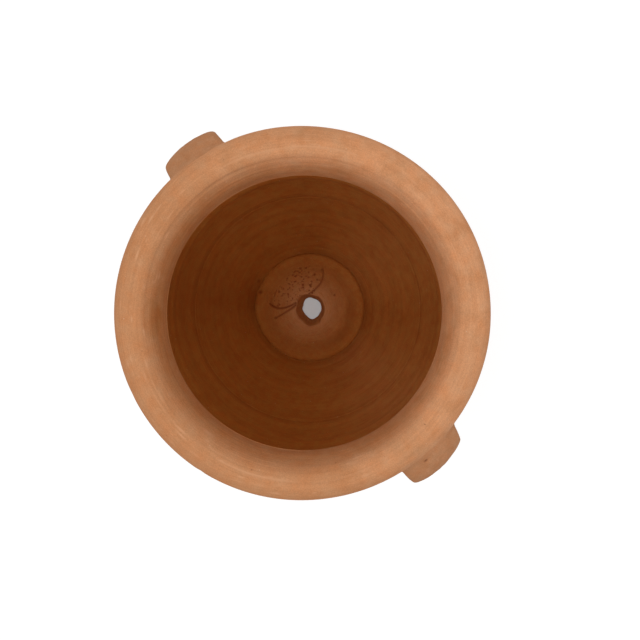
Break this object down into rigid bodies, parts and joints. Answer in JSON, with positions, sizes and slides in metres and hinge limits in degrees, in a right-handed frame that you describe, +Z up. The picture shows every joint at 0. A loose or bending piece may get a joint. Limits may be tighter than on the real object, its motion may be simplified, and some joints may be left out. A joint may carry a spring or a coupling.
{
  "type": "planter",
  "caption": "Round unglazed terracotta planter with a thick rolled rim, strap handles under the rim, a narrow foot, and a drain hole through a raised floor disc.",
  "frame": {"origin": "centre of the foot, on the ground", "axes": "+Z up along the pot's axis, X through the handles, east handle on +X"},
  "size_m": [0.3274, 0.28, 0.25],
  "materials": {
    "terracotta_rim": "unglazed, matt, finely streaked by the wheel",
    "terracotta_wall": "unglazed, matt, with faint throwing rings",
    "terracotta_floor": "unglazed, matt"
  },
  "bodies": {
    "root": {"base_slab": "terracotta_floor", "lower_wall": "terracotta_wall", "upper_wall": "terracotta_wall", "rolled_rim": "terracotta_rim", "handle_east": "terracotta_rim", "handle_west": "terracotta_rim"}
  },
  "joints": []
}
